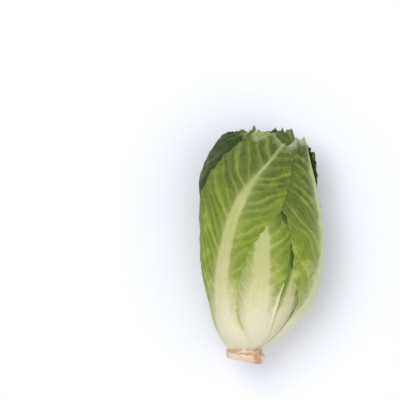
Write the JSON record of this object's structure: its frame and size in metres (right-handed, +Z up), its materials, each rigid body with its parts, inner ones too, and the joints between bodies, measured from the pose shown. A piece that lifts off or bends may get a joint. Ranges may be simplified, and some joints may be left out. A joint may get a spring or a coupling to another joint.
{
  "type": "romaine lettuce head",
  "caption": "Small egg-shaped romaine lettuce head with overlapping ribbed leaves, a tight heart and a cut stem, lying on its side.",
  "frame": {"origin": "the middle of the flat spot under the head that it rests on, below the middle of the widest part", "axes": "+Z up from the surface it lies on, +Y from the cut stem towards the leaf tips, +X to the right seen from above with the stem nearest the viewer"},
  "size_m": [0.0858, 0.1657, 0.0772],
  "materials": {
    "outer_leaf": "satin leaf, mid to dark green with a pale cream midrib and lighter veins, darker at the waved tips",
    "inner_leaf": "satin leaf, yellow-green blade with a broad cream midrib",
    "heart": "satin, pale yellow-green leaf tips over a cream core",
    "stem": "matte cut stump, pinkish cream with brown leaf scars"
  },
  "bodies": {
    "root": {"stem": "stem", "leaf_01_front_left": "outer_leaf", "leaf_02_right_back": "outer_leaf", "leaf_03_right": "outer_leaf", "leaf_04_left_back": "outer_leaf", "leaf_05_under": "outer_leaf", "leaf_06_centre": "inner_leaf", "leaf_07_centre_right": "inner_leaf", "leaf_08_left": "inner_leaf", "leaf_09_right_low": "inner_leaf", "leaf_10_inner_under": "inner_leaf", "leaf_11_inner_front": "inner_leaf", "leaf_12_inner_right": "inner_leaf", "heart": "heart"}
  },
  "joints": []
}
